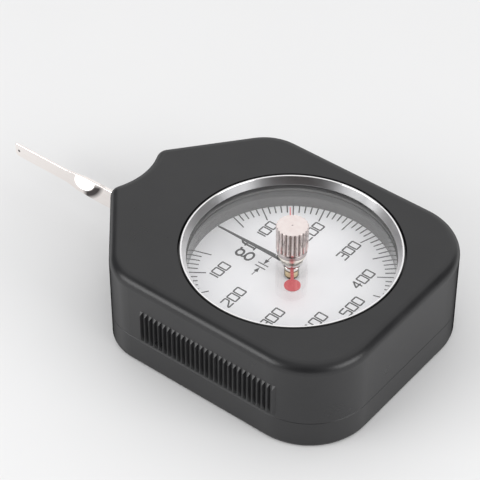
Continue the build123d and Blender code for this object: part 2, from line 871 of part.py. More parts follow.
def pinion_arbor():
    """Arbor with the pinion cut on it; it carries the hairspring and the pointer."""
    points = []
    for number in range(pinion_teeth):
        points += tooth_points(pinion_teeth, pi + (number + 1 / 2) * 2 * pi / pinion_teeth)
    pinion_z = upper_plate_z - loose_gap - pinion_height
    body = prism(make_face(Polyline(*points, close=True)), pinion_z, pinion_z + pinion_height)
    body += disc(arbor_r, lower_top + loose_gap, upper_plate_z - loose_gap)
    body += disc(arbor_pivot_r, lower_plate_z, lower_top + overrun)
    body += disc(arbor_neck_r, upper_plate_z - overrun, cap_top)
    return body


def hairspring_collet():
    """Brass collet that holds the hairspring's hook on the arbor."""
    bottom = lower_top + collet_lift
    low = hairspring_z() - fit_gap
    high = hairspring_z() + hairspring_width + fit_gap
    inner, outer = collet_r - hairspring_hook, collet_r + overrun
    body = tube(arbor_r + fit_gap / 2, collet_r, bottom, bottom + collet_height)
    return body - block(inner, outer, -hairspring_thickness - fit_gap, fit_gap, low, high)


def pointer_hub():
    """Brass hub of the main pointer, riveted over it with a wider head."""
    head = disc(pointer_head_r, pointer_z + pointer_thickness, cap_top)
    head = chamfer(head.edges().group_by(Axis.Z)[-1], pointer_head_bevel)
    body = head + disc(pointer_hub_r, hub_z, pointer_z) + disc(pointer_cap_r, hub_z, cap_top)
    return body - disc(arbor_neck_r + fit_gap / 2, hub_z - overrun, cap_top + overrun)


def main_pointer():
    """Black tapered pointer that shows the force, with its ring on the hub."""
    root, tip = pointer_root_width / 2, pointer_tip_width / 2
    neck = -pointer_length + tip
    points = [(0, root), (neck, tip), (-pointer_length, 0), (neck, -tip), (0, -root)]
    blade = make_face(Polyline(*points, close=True))
    face = blade + Circle(pointer_hub_r) - Circle(pointer_cap_r + fit_gap)
    face -= Pos(-drive_pin_place, 0) * Circle(drive_pin_r)
    return prism(face, pointer_z, pointer_z + pointer_thickness)


def drive_pin():
    """Pin on the main pointer that pushes the peak pointer along."""
    top = peak_z - loose_gap
    return disc(drive_pin_r - fit_gap / 2, pointer_z, top, -drive_pin_place, 0)


def peak_pointer():
    """Red peak pointer with a round counterweight at its tail."""
    root, tip = peak_root_width / 2, peak_tip_width / 2
    neck = -peak_length + tip
    half = [(peak_disc_place, root), (0, root), (neck, tip)]
    mirrored = [(x, -y) for x, y in reversed(half)]
    blade = make_face(Polyline(*half, (-peak_length, 0), *mirrored, close=True))
    face = blade + Circle(peak_ring_r) + Pos(peak_disc_place, 0) * Circle(peak_disc_r)
    face -= Circle(stem_spigot_r + fit_gap / 2)
    return Rot(0, 0, peak_angle - 180) * prism(face, peak_z, peak_top)


def peak_hub():
    """Brass hub that holds the peak pointer against the stem's shoulder."""
    return tube(stem_spigot_r + fit_gap / 2, peak_hub_r, peak_top, washer_z() - running_gap)


def washer_z():
    """The underside of the friction washer, under the nut."""
    return nut_z - washer_thickness - fit_gap


def friction_washer():
    """Thin washer that keeps the knob where it was put."""
    return tube(stem_r + fit_gap, washer_r, washer_z(), washer_z() + washer_thickness)


def knob_stem():
    """Steel stem from the knob through the crystal to the peak pointer."""
    body = disc(stem_r, washer_z() - running_gap, knob_z + stem_depth_in_knob)
    return body + disc(stem_spigot_r, peak_z - fit_gap, washer_z())


def crystal_bush():
    """Flanged bush in the crystal's hole, which the stem turns in."""
    body = disc(bush_body_r, nut_z, crystal_top)
    body += disc(bush_flange_r, crystal_top, crystal_top + bush_flange_height)
    return body - disc(stem_r + running_gap, nut_z - overrun, crystal_top + bush_flange_height + overrun)


def bush_nut():
    """Round nut under the crystal, with two notches for its key."""
    body = tube(bush_body_r + fit_gap, nut_r, nut_z, crystal_z)
    for side in (-1, 1):
        body -= (Pos(0, side * nut_r, nut_z)
                 * Box(nut_notch, nut_notch, 2 * nut_height + overrun))
    return body


def reset_knob():
    """Fluted knob with a beaded collar below, a bevelled top and a small centre dimple."""
    neck_top = knob_z + knob_neck_height
    bead_top = neck_top - knob_groove_height
    body = disc(knob_r, neck_top, knob_top)
    body = chamfer(body.edges().group_by(Axis.Z)[-1], knob_bevel)
    for number in range(knob_flutes):
        angle = 2 * pi * number / knob_flutes + knob_turn * pi / 180
        x, y = polar(knob_r + knob_flute_r - knob_flute_depth, angle)
        body -= disc(knob_flute_r, neck_top - overrun, knob_top + overrun, x, y)
    collar = disc(knob_neck_r, knob_z, bead_top)
    body += fillet(collar.edges().filter_by(GeomType.CIRCLE), knob_bead)
    body += disc(knob_neck_r - knob_groove_depth, bead_top - knob_bead, neck_top)
    body -= disc(stem_r + fit_gap / 2, knob_z - overrun, knob_z + stem_depth_in_knob + fit_gap)
    return body - disc(knob_dimple_r, knob_top - knob_dimple_depth, knob_top + overrun)


parts = {
    "top_case": top_case(),
    "back_cover": back_cover(),
    "cover_screws": cover_screws(),
    "bezel_ring": bezel_ring(),
    "crystal": crystal(),
    "crystal_gasket": crystal_gasket(),
    "well_ring": well_ring(),
    "dial_plate": dial_plate(),
    "upper_plate": upper_plate(),
    "lower_plate": lower_plate(),
    "plate_pillars": plate_pillars(),
    "upper_plate_screws": plate_screws(upper_top, 1),
    "lower_plate_screws": plate_screws(lower_plate_z, -1),
    "movement_screws": movement_screws(),
    "lever_upper_bush": bush(upper_plate_z, lever_pivot_r, -pivot_reach),
    "lever_lower_bush": bush(lower_plate_z, lever_pivot_r, -pivot_reach),
    "arbor_upper_bush": bush(upper_plate_z, arbor_neck_r, 0),
    "arbor_lower_bush": bush(lower_plate_z, arbor_pivot_r, 0),
    "stop_pins": stop_pins(),
    "main_spring": main_spring(),
    "main_spring_stud": main_spring_stud(),
    "hairspring": hairspring(),
    "hairspring_stud": hairspring_stud(),
    "crystal_bush": crystal_bush(),
    "bush_nut": bush_nut(),
    "friction_washer": friction_washer(),
    "feeler_lever": feeler_lever(),
    "lever_hub": lever_hub(),
    "lever_shaft": lever_shaft(),
    "lever_rivets": lever_rivets(),
    "sector_gear": sector_gear(),
    "sector_screws": sector_screws(),
    "pinion_arbor": pinion_arbor(),
    "hairspring_collet": hairspring_collet(),
    "pointer_hub": pointer_hub(),
    "main_pointer": main_pointer(),
    "drive_pin": drive_pin(),
    "reset_knob": reset_knob(),
    "knob_stem": knob_stem(),
    "peak_pointer": peak_pointer(),
    "peak_hub": peak_hub(),
}

os.makedirs("parts", exist_ok=True)
for name, shape in parts.items():
    solids = shape if isinstance(shape, list) else [shape]
    solids = [solid for piece in solids for solid in piece.solids()]
    export_step(Compound(children=solids) if len(solids) > 1 else solids[0], f"parts/{name}.step")
    print(name, len(solids), "solid(s)", round(sum(solid.volume for solid in solids), 2), "mm3")
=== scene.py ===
# %% [markdown]
# A pocket force gauge in Blender: the frame first
#
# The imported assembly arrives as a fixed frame: every casing, gear and pointer is already there at its
# real size, and it never moves. This lesson dresses it. The frame also answers questions such as how
# wide the dial is, so the print and the finishes are worked out from the frame and not from typed places.

import math

import bpy
import numpy as np
from mathutils import Matrix, Vector


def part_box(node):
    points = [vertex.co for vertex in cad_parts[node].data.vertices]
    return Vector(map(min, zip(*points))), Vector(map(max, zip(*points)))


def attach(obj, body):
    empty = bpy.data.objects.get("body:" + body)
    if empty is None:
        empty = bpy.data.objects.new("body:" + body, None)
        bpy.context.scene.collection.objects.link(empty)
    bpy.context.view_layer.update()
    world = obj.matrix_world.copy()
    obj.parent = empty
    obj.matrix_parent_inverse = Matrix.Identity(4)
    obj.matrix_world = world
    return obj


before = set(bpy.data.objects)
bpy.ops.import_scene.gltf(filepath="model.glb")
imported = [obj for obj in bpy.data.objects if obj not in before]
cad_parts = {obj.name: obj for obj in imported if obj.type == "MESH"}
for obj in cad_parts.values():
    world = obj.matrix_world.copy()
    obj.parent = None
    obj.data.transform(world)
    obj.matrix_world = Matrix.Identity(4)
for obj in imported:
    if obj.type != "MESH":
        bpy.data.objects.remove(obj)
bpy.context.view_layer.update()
MM = 0.001
print("pieces in the frame:", len(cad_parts))


# %% Measure the dial
def radius_of(node):
    """Largest distance of a node's corners from the dial axis, which is the Z axis."""
    low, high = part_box(node)
    return max(abs(low.x), abs(high.x), abs(low.y), abs(high.y))


dial_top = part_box("dial_plate")[1].z
dial_r = radius_of("dial_plate")
print("dial face at", round(dial_top / MM, 2), "mm, radius", round(dial_r / MM, 2), "mm")


# %% [markdown]
# The camera
#
# The gauge was photographed with a long lens from about 42 degrees above the table, from the side of the
# ribbed grip. A look-at matrix could be had from a Track To constraint, but three plain unit vectors are
# easier to check: right, up and back are the camera's own axes written in the gauge's frame.

# %% Camera
azimuth = math.radians(38.17)
elevation = math.radians(42.38)
lens_mm = 157.62
sensor_mm = 36.0
camera_distance = 475.2 * MM
nearest_seen = 10 * MM
aim = Vector((-17.05, 3.30, 14.39)) * MM

back = Vector((
    math.sin(azimuth) * math.cos(elevation),
    -math.cos(azimuth) * math.cos(elevation),
    math.sin(elevation),
))
right = Vector((math.cos(azimuth), math.sin(azimuth), 0.0))
up = back.cross(right)
camera_data = bpy.data.cameras.new("bench_camera")
camera_data.lens = lens_mm
camera_data.sensor_width = sensor_mm
camera_data.clip_start = nearest_seen
camera = bpy.data.objects.new("bench_camera", camera_data)
bpy.context.scene.collection.objects.link(camera)
axes = Matrix((right, up, back)).transposed()
camera.matrix_world = Matrix.Translation(aim + back * camera_distance) @ axes.to_4x4()
bpy.context.scene.camera = camera
print("camera stands at", [round(v / MM, 1) for v in camera.matrix_world.translation])


# %% [markdown]
# A little node kit
#
# Every finish below is a Principled shader with a few procedural nodes in front of it. Wiring them by
# hand fills pages, so small helpers do it: one adds any node, one makes the material, and the others are
# one idea each, such as noise of a size, a ramp, or a blend of two colours. What is the same all over a
# surface goes on the shader's own socket, because then it also survives an export.

# %% Node helpers
def add(tree, kind, inputs=None, **settings):
    """One new node: settings are its properties, inputs its sockets by name, as a value or as a link."""
    node = tree.nodes.new("ShaderNode" + kind)
    for name, value in settings.items():
        setattr(node, name, value)
    for name, value in (inputs or {}).items():
        socket = node.inputs[name]
        if isinstance(value, bpy.types.NodeSocket):
            tree.links.new(value, socket)
        else:
            socket.default_value = value
    return node


def maths(tree, operation, *values):
    """One Math node on one to three numbers or links; gives back its result."""
    return add(tree, "Math", dict(enumerate(values)), operation=operation).outputs["Value"]


def vector_maths(tree, operation, *values):
    """One Vector Math node; gives back a number for a length, distance or dot product, else a vector."""
    node = add(tree, "VectorMath", dict(enumerate(values)), operation=operation)
    gives_number = operation in ("LENGTH", "DISTANCE", "DOT_PRODUCT")
    return node.outputs["Value" if gives_number else "Vector"]


def finish(name, base, roughness, metallic=0.0, **sockets):
    """A material with one Principled shader; gives back the material, its tree and the shader."""
    material = bpy.data.materials.new(name)
    material.use_nodes = True
    tree = material.node_tree
    shader = tree.nodes["Principled BSDF"]
    shader.inputs["Base Color"].default_value = (*base, 1.0)
    shader.inputs["Roughness"].default_value = roughness
    shader.inputs["Metallic"].default_value = metallic
    for socket, value in sockets.items():
        shader.inputs[socket.replace("_", " ")].default_value = value
    return material, tree, shader


def wire(tree, value, shader, socket):
    """Link a value to one socket of the shader."""
    tree.links.new(value, shader.inputs[socket])


print("node helpers ready")


# %% Helpers for places and patterns
def place(tree, scale=(1.0, 1.0, 1.0)):
    """Object coordinates through a Mapping node: the position in metres, stretched."""
    where = add(tree, "TexCoord")
    return add(tree, "Mapping", {"Vector": where.outputs["Object"], "Scale": scale}).outputs["Vector"]


def height_in(tree):
    """How high a point is above the table, in metres."""
    return add(tree, "SeparateXYZ", {"Vector": place(tree)}).outputs["Z"]


def axis_distance(tree):
    """How far a point is from the dial axis, in metres."""
    return vector_maths(tree, "LENGTH", place(tree, scale=(1.0, 1.0, 0.0)))


def grain(tree, size, detail=3.0, vector=None):
    """Noise whose blobs are about size metres across, as a value from 0 to 1."""
    noise = add(tree, "TexNoise", {
        "Vector": vector or place(tree), "Scale": 1.0 / size, "Detail": detail, "Roughness": 0.55,
    })
    return noise.outputs["Fac"]


def spread(tree, value, low, high, near=0.3, far=0.7):
    """A value from near to far stretched to low to high, and held there."""
    ranged = add(tree, "MapRange", {
        "Value": value, "From Min": near, "From Max": far, "To Min": low, "To Max": high,
    })
    return ranged.outputs["Result"]


def tint(tree, value, dark, light):
    """A colour that goes from dark to light as the value goes from 0 to 1; each is a tuple or a link."""
    ends = [(*end, 1.0) if isinstance(end, tuple) else end for end in (dark, light)]
    return add(tree, "Mix", {"Factor": value, "A": ends[0], "B": ends[1]}, data_type="RGBA").outputs["Result"]


def turned_rings(tree, pitch):
    """Fine rings about the dial axis: the sine of the distance from the axis in pitches, from 0 to 1."""
    wave = maths(tree, "SINE", maths(tree, "MULTIPLY", axis_distance(tree), 2 * math.pi / pitch))
    return maths(tree, "MULTIPLY_ADD", wave, 0.5, 0.5)


def facing(tree):
    """From 0 where the surface looks straight at the viewer to 1 where it is seen edge on."""
    return add(tree, "LayerWeight", {"Blend": 0.5}).outputs["Facing"]


def bump(tree, shader, height, depth):
    """Bump of depth metres for a height from 0 to 1, wired to the shader."""
    node = add(tree, "Bump", {"Height": height, "Distance": depth})
    wire(tree, node.outputs["Normal"], shader, "Normal")


print("pattern helpers ready")


# %% Keep the finishes by slot
finishes = {}


def keep(slot, material):
    """Note a finished material under the name of its slot."""
    finishes[slot] = material
    print(slot, "is", material.name, "with", len(material.node_tree.nodes), "nodes")


# %% [markdown]
# The moulded case
#
# The two case shells are moulded in black plastic. Its own colour is nearly nothing, so what the eye reads
# is a soft reflection of the room, broken by the fine spark-eroded texture of the mould. A flat grey would
# lose that, so the base stays near black, the texture drives the bump, and a slow cloud drives the
# roughness. Such a rough skin hides its own far side: seen edge on, its peaks shade each other and the
# gloss fades. Layer Weight gives that angle, and the reflection is turned down with it.

# %% Case plastic
mould_texture = 0.35 * MM
mould_depth = 0.012 * MM
handling_cloud = 9 * MM
gloss_fade = 3.0


def case_plastic():
    """Black plastic; the gloss is the cube of a ramp that falls from 1 to 0 towards the edge-on view."""
    material, tree, shader = finish("moulded_black_plastic", (0.013, 0.013, 0.014), 0.3)
    cloud = grain(tree, handling_cloud, detail=4.0)
    base = tint(tree, spread(tree, cloud, 0.0, 1.0), (0.011, 0.011, 0.012), (0.015, 0.015, 0.016))
    wire(tree, base, shader, "Base Color")
    wire(tree, spread(tree, cloud, 0.27, 0.33), shader, "Roughness")
    flat = maths(tree, "POWER", spread(tree, facing(tree), 1.0, 0.0, near=0.6, far=0.9), gloss_fade)
    wire(tree, spread(tree, flat, 0.0, 0.5, near=0.0, far=1.0), shader, "Specular IOR Level")
    bump(tree, shader, grain(tree, mould_texture, detail=2.0), mould_depth)
    return material


keep("case_plastic", case_plastic())


# %% [markdown]
# The well under the window
#
# Between the window and the dial stands a smooth grey ring, and a rubber gasket carries the window. Both
# are dim and plain, but not alike: the ring mirrors the dial a little, and the rubber is dull. One noise
# in each keeps them from looking like paper.

# %% Well plastic and gasket rubber
well_cloud = 4 * MM
rubber_cloud = 1.5 * MM
rubber_pores = 0.2 * MM
rubber_depth = 0.01 * MM


def well_plastic():
    """Smooth grey plastic: one cloud moves its colour and its gloss a little."""
    material, tree, shader = finish("smooth_grey_plastic", (0.08, 0.08, 0.08), 0.08)
    cloud = grain(tree, well_cloud)
    wire(tree, tint(tree, cloud, (0.076, 0.076, 0.076), (0.084, 0.084, 0.084)), shader, "Base Color")
    wire(tree, spread(tree, cloud, 0.06, 0.1), shader, "Roughness")
    return material


def seal_rubber():
    """Dull grey rubber with fine pores."""
    material, tree, shader = finish("grey_rubber", (0.12, 0.12, 0.12), 0.5)
    wire(tree, spread(tree, grain(tree, rubber_cloud), 0.55, 0.7), shader, "Roughness")
    bump(tree, shader, grain(tree, rubber_pores), rubber_depth)
    return material


keep("well_plastic", well_plastic())
keep("seal_rubber", seal_rubber())


# %% [markdown]
# The turned bezel
#
# The bezel is turned on a lathe, so its marks run in rings about the dial axis. A narrow flat rim is
# polished, and a cone inside it is duller. Light that falls on such rings from any side comes back
# strongly in two opposite sectors, like a bow tie. An anisotropic shader could do that from the marks
# alone, but it is noisy and is lost on export, so the bow tie is a painted reflection: the dot product of
# the outward direction and one fixed direction says how bright the cone's colour is, and outside the two
# sectors the cone is painted dark as shade. The skirt in the groove outside is painted dark as shade.

# %% Bezel metal
case_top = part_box("top_case")[1].z
bezel_r = radius_of("bezel_ring")
cone_from, cone_to = case_top - 0.03 * MM, case_top - 0.1 * MM
skirt_r = bezel_r - 0.62 * MM
skirt_top = case_top - 0.05 * MM
bow_way = (0.786, 0.618, 0.0)
bright_metal = (0.95, 0.94, 0.945)
# colours of painted shade: the dull one on the cone outside the bow tie, the black one on the skirt
painted_shade_metal = (0.26, 0.26, 0.265)
skirt_painted_shade = (0.06, 0.06, 0.06)
ring_pitch = 0.12 * MM
ring_depth = 0.0004 * MM
hand_smear = 3 * MM
cone_roughness = 0.25


def bezel_metal():
    """Turned metal: the cone's painted reflection is as bright as the size of the cosine between outward and
    the bow's way; the skirt is painted shade.
    """
    material, tree, shader = finish("turned_bright_metal", bright_metal, 0.06, metallic=1.0)
    outward = vector_maths(tree, "NORMALIZE", place(tree, scale=(1.0, 1.0, 0.0)))
    bow = maths(tree, "ABSOLUTE", vector_maths(tree, "DOT_PRODUCT", outward, bow_way))
    # painted reflection: bright in the two bow-tie sectors, painted shade between them
    turned = tint(tree, spread(tree, bow, 0.0, 1.0, near=0.7, far=0.95), painted_shade_metal, bright_metal)
    height = height_in(tree)
    cone = spread(tree, height, 1.0, 0.0, near=cone_to, far=cone_from)
    face = tint(tree, cone, bright_metal, turned)
    # painted shade: the skirt outside the rim and below the case top is dark, as shade in the groove
    outside = maths(tree, "GREATER_THAN", axis_distance(tree), skirt_r)
    skirt = maths(tree, "MULTIPLY", outside, maths(tree, "LESS_THAN", height, skirt_top))
    wire(tree, tint(tree, skirt, face, skirt_painted_shade), shader, "Base Color")
    wire(tree, maths(tree, "SUBTRACT", 1.0, skirt), shader, "Metallic")
    smear = spread(tree, grain(tree, hand_smear), 0.05, 0.09)
    wire(tree, maths(tree, "MULTIPLY_ADD", cone, cone_roughness, smear), shader, "Roughness")
    bump(tree, shader, turned_rings(tree, ring_pitch), ring_depth)
    return material


keep("bezel_metal", bezel_metal())


# %% [markdown]
# The reset knob
#
# The knob is fluted brass with a warm bright plating. The flutes are painted darker, up to just below the
# top, as the shade that gathers in them. That shade could come from an ambient occlusion node, but that is
# slow and isn't carried by an export. The flutes are simply nearer to the axis than the crests, so the
# distance from the axis finds them. Heights find the collar, painted grey as shade, its foot, painted dark
# as the shade in the crease under it, and the cream flange of the bush.

# %% Knob plating
knob_r = radius_of("reset_knob")
knob_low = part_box("reset_knob")[0].z
knob_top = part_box("reset_knob")[1].z
flange_to, collar_from = knob_low - 0.06 * MM, knob_low - 0.03 * MM
foot_to, ring_from = knob_low + 0.1 * MM, knob_low + 0.3 * MM
collar_to, flutes_from = knob_low + 1.4 * MM, knob_low + 1.45 * MM
flutes_to = knob_top - 0.13 * MM
flute_shade_r, unshaded_r = knob_r - 0.25 * MM, knob_r - 0.15 * MM
rim_from, rim_to = knob_r - 0.13 * MM, knob_r - 0.09 * MM
knob_haze = 1.6 * MM
plating_dim, plating_bright = (0.88, 0.775, 0.75), (0.93, 0.845, 0.82)
# painted shade: darker copies of the plating for the flutes, the collar and the collar's foot
flute_painted_shade = (0.27, 0.21, 0.19)
collar_painted_shade = (0.58, 0.52, 0.51)
collar_foot_painted_shade = (0.12, 0.1, 0.09)
flange_cream = (0.95, 0.9, 0.82)
collar_dulling = 0.24
rim_wear = 0.4


def knob_chrome():
    """Warm plating: colour goes by height from flange to collar to flutes; the collar, its foot and the
    flutes, found by distance from the axis, are painted darker as shade.
    """
    material, tree, shader = finish("warm_plating", (0.88, 0.82, 0.81), 0.08, metallic=1.0)
    haze = grain(tree, knob_haze, detail=4.0)
    plating = tint(tree, spread(tree, haze, 0.0, 1.0), plating_dim, plating_bright)
    radius = axis_distance(tree)
    height = height_in(tree)
    # painted shade in the flutes, below the top
    in_flute = spread(tree, radius, 1.0, 0.0, near=flute_shade_r, far=unshaded_r)
    under_top = spread(tree, height, 1.0, 0.0, near=flutes_to, far=flutes_to + 0.02 * MM)
    flute_shaded = tint(tree, maths(tree, "MULTIPLY", in_flute, under_top), plating, flute_painted_shade)
    # painted shade: the collar grey, going dark at its foot
    collar = tint(tree, spread(tree, height, 0.0, 1.0, near=foot_to, far=ring_from), collar_foot_painted_shade, collar_painted_shade)
    above_flange = spread(tree, height, 0.0, 1.0, near=flange_to, far=collar_from)
    lower = tint(tree, above_flange, flange_cream, collar)
    fluted = spread(tree, height, 0.0, 1.0, near=collar_to, far=flutes_from)
    wire(tree, tint(tree, fluted, lower, flute_shaded), shader, "Base Color")
    rim = spread(tree, radius, 0.0, 1.0, near=rim_from, far=rim_to)
    at_top = spread(tree, height, 0.0, rim_wear, near=flutes_to, far=flutes_to + 0.03 * MM)
    worn = maths(tree, "MULTIPLY", rim, at_top)
    dull = maths(tree, "ADD", worn, spread(tree, fluted, collar_dulling, 0.0, near=0.0, far=1.0))
    wire(tree, maths(tree, "ADD", dull, spread(tree, haze, 0.05, 0.09)), shader, "Roughness")
    return material


keep("knob_chrome", knob_chrome())


# %% [markdown]
# The feeler
#
# The feeler is a strip of polished steel with faint drawing marks along its length, so its noise is
# stretched along X. Near the case the strip is pressed: the swell catches the light from above and the
# hollow beside it stays dark. The swell is very shallow, and a bump map of it breaks up into hard edges.
# So the shading normal itself leans upwards inside an ellipse, and the hollow round the ellipse's lower
# right is painted dark as shade. A small dimple near the tip is painted as a dark spot of shade.

# %% Feeler steel
lever_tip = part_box("feeler_lever")[0].x
lever_middle = (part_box("feeler_lever")[0].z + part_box("feeler_lever")[1].z) / 2
swell_x, swell_z = lever_tip + 22.3 * MM, lever_middle + 1.5 * MM
swell_wide, swell_high = 3.3 * MM, 2.8 * MM
swell_climb = 0.35
swell_lean = 0.72
marks_per_metre = (120.0, 4000.0, 4000.0)
# colour of the painted shade in the hollow and at the dimple near the tip
hollow_painted_shade = (0.07, 0.062, 0.06)
tip_dimple_shade = (lever_tip + 1.25 * MM, 0.0, lever_middle)
dimple_shade_r = 0.4 * MM


def ellipse_place(tree):
    """Across, rise and reach in a leaning ellipse: x and z from its middle in half axes, with the rise
    less the climb times across, and the reach as the length of the two, which is 1 on the ellipse."""
    parts = add(tree, "SeparateXYZ", {"Vector": place(tree)}).outputs
    across = maths(tree, "MULTIPLY_ADD", parts["X"], 1 / swell_wide, -swell_x / swell_wide)
    height = maths(tree, "MULTIPLY_ADD", parts["Z"], 1 / swell_high, -swell_z / swell_high)
    rise = maths(tree, "MULTIPLY_ADD", across, -swell_climb * swell_wide / swell_high, height)
    around = add(tree, "CombineXYZ", {"X": across, "Y": rise}).outputs["Vector"]
    return across, rise, vector_maths(tree, "LENGTH", around)


def painted_hollow_shade(tree, across, rise, reach):
    """Painted shade of the hollow: from 0 to 1 in a ring just outside the ellipse, at its right and its lower
    side only.
    """
    ring = maths(tree, "MULTIPLY", spread(tree, reach, 1.0, 0.0, near=1.5, far=1.95),
                 spread(tree, reach, 0.0, 1.0, near=0.98, far=1.08))
    rightward = spread(tree, across, 0.0, 1.0, near=-0.25, far=0.2)
    downward = spread(tree, rise, 1.0, 0.0, near=-0.5, far=-0.1)
    return maths(tree, "MULTIPLY", maths(tree, "MULTIPLY", ring, rightward), downward)


def lever_steel():
    """Polished strip: drawn marks, the swell's leaning normal, and painted shade in the hollow and at the
    dimple by the tip.
    """
    material, tree, shader = finish("polished_strip_steel", (0.965, 0.915, 0.885), 0.1, metallic=1.0)
    drawn = grain(tree, 1.0, vector=place(tree, scale=marks_per_metre))
    wire(tree, spread(tree, drawn, 0.07, 0.14), shader, "Roughness")
    plain = tint(tree, spread(tree, drawn, 0.0, 1.0), (0.95, 0.89, 0.86), (0.98, 0.94, 0.91))
    across, rise, reach = ellipse_place(tree)
    # painted shade: a dark spot at the dimple near the tip
    from_mark = vector_maths(tree, "DISTANCE", place(tree, scale=(1.0, 0.0, 1.0)), tip_dimple_shade)
    mark = spread(tree, from_mark, 1.0, 0.0, near=dimple_shade_r - 0.15 * MM, far=dimple_shade_r)
    # painted shade of the hollow and the dimple darkens the plain steel
    dark = maths(tree, "MAXIMUM", painted_hollow_shade(tree, across, rise, reach), mark)
    wire(tree, tint(tree, dark, plain, hollow_painted_shade), shader, "Base Color")
    lean = spread(tree, reach, swell_lean, 0.0, near=0.9, far=1.06)
    upward = add(tree, "CombineXYZ", {"Z": lean}).outputs["Vector"]
    leaning = vector_maths(tree, "ADD", add(tree, "NewGeometry").outputs["Normal"], upward)
    wire(tree, vector_maths(tree, "NORMALIZE", leaning), shader, "Normal")
    return material


print("lever tip at", round(lever_tip / MM, 2), "mm")
keep("lever_steel", lever_steel())


# %% [markdown]
# Brass hub and plain steel
#
# The pointer's hub is turned brass. Above its shoulder it is painted silver as a highlight, and painted
# shade darkens it in a line at the shoulder, at its foot and where it turns away. The line and the foot
# are too fine to show as geometry from here, so each is a dark band at its own height. Screws, pins and
# springs are plain steel in two tones, and mostly hidden, so one function makes both.

# %% Brass and steels
pointer_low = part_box("main_pointer")[0].z
hub_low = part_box("pointer_hub")[0].z
shoulder_low = pointer_low - 0.7 * MM
shade_line_half, foot_shade_half = 0.22 * MM, 0.5 * MM
# colours of the painted highlight above the shoulder and of the painted shade
painted_highlight_silver = (0.93, 0.91, 0.87)
painted_shade_dark = (0.12, 0.09, 0.06)
brass_cloud = 1 * MM
brass_pitch = 0.1 * MM
brass_depth = 0.0005 * MM
steel_mark = 0.5 * MM
steel_depth = 0.0004 * MM


def band(tree, height, centre, half):
    """From 1 at a height to 0 at half above and below it."""
    away = maths(tree, "ABSOLUTE", maths(tree, "SUBTRACT", height, centre))
    return spread(tree, away, 1.0, 0.0, near=half * 0.5, far=half)


def brass():
    """Brass with a painted highlight, silver above the shoulder, and painted shade in a line, at the foot and
    where it turns away.
    """
    material, tree, shader = finish("pale_brass", (0.8, 0.65, 0.41), 0.14, metallic=1.0)
    height = height_in(tree)
    cloud = spread(tree, grain(tree, brass_cloud), 0.0, 1.0)
    gold = tint(tree, cloud, (0.74, 0.58, 0.34), (0.86, 0.72, 0.48))
    # painted highlight: silver above the shoulder
    highlit = spread(tree, height, 0.0, 1.0, near=shoulder_low - 0.05 * MM, far=shoulder_low + 0.05 * MM)
    highlit_brass = tint(tree, highlit, gold, painted_highlight_silver)
    # painted shade: a line at the shoulder, a band at the foot and the edges turned away
    line = band(tree, height, shoulder_low, shade_line_half)
    foot = band(tree, height, hub_low, foot_shade_half)
    edge_shade = spread(tree, facing(tree), 0.0, 1.0, near=0.5, far=0.75)
    painted_shade = maths(tree, "MAXIMUM", maths(tree, "MAXIMUM", line, foot), edge_shade)
    wire(tree, tint(tree, painted_shade, highlit_brass, painted_shade_dark), shader, "Base Color")
    bump(tree, shader, turned_rings(tree, brass_pitch), brass_depth)
    return material


def plain_steel(name, base, roughness):
    """Steel of one tone, a little smoother and rougher in patches."""
    material, tree, shader = finish(name, base, roughness, metallic=1.0)
    marks = grain(tree, steel_mark)
    wire(tree, spread(tree, marks, roughness * 0.8, roughness * 1.3), shader, "Roughness")
    bump(tree, shader, marks, steel_depth)
    return material


keep("brass", brass())
keep("screw_steel", plain_steel("turned_steel", (0.74, 0.73, 0.72), 0.4))
keep("spring_steel", plain_steel("spring_strip_steel", (0.42, 0.43, 0.46), 0.2))


# %% [markdown]
# Paint and print
#
# The dial is a white lacquered plate: not a single white, but one with a very faint cloud in it and a
# touch of sheen. The pointers are stamped strip with satin paint, and the dial print is black ink. All
# three could share one paint with other colours, and nearly do: the lacquer alone has its own cloud.

# %% Paints
lacquer_cloud = 7 * MM
lacquer_peel, lacquer_depth = 0.5 * MM, 0.002 * MM
paint_peel, paint_depth = 0.8 * MM, 0.003 * MM
ink_black = (0.01, 0.01, 0.011)


def dial_white():
    """White lacquer with a faint cloud and a very shallow peel."""
    material, tree, shader = finish("white_lacquer", (0.935, 0.935, 0.955), 0.42)
    cloud = spread(tree, grain(tree, lacquer_cloud, detail=5.0), 0.0, 1.0)
    wire(tree, tint(tree, cloud, (0.925, 0.925, 0.945), (0.945, 0.945, 0.96)), shader, "Base Color")
    bump(tree, shader, grain(tree, lacquer_peel), lacquer_depth)
    return material


def satin_paint(name, dark, light, roughness, gloss):
    """Paint or ink between two tones; gloss is the Principled shader's specular level."""
    material, tree, shader = finish(name, light, roughness, Specular_IOR_Level=gloss)
    peel = grain(tree, paint_peel)
    wire(tree, tint(tree, spread(tree, peel, 0.0, 1.0), dark, light), shader, "Base Color")
    bump(tree, shader, peel, paint_depth)
    return material


keep("dial_white", dial_white())
pointer_dim, pointer_black = (0.016, 0.017, 0.018), (0.022, 0.023, 0.025)
keep("pointer_black", satin_paint("satin_black_paint", pointer_dim, pointer_black, 0.4, 0.3))
keep("pointer_red", satin_paint("satin_red_paint", (0.63, 0.135, 0.15), (0.70, 0.165, 0.175), 0.28, 0.5))
print_ink = satin_paint("black_print_ink", (0.006, 0.006, 0.007), ink_black, 0.6, 0.2)


# %% [markdown]
# The window
#
# The window is a flat disc of clear acrylic. A refracting glass shader would be right for a lens, but on a
# flat disc it only adds noise and shadows. So the disc lets light straight through and adds a mirror of
# the room: 7 parts in 100 when seen square on, for its two faces, and more towards grazing angles, as the
# fifth power of Layer Weight's Facing. Lamps and diffuse light pass as if the disc weren't there.

# %% Window
square_on_share = 0.07
window_roughness = 0.03


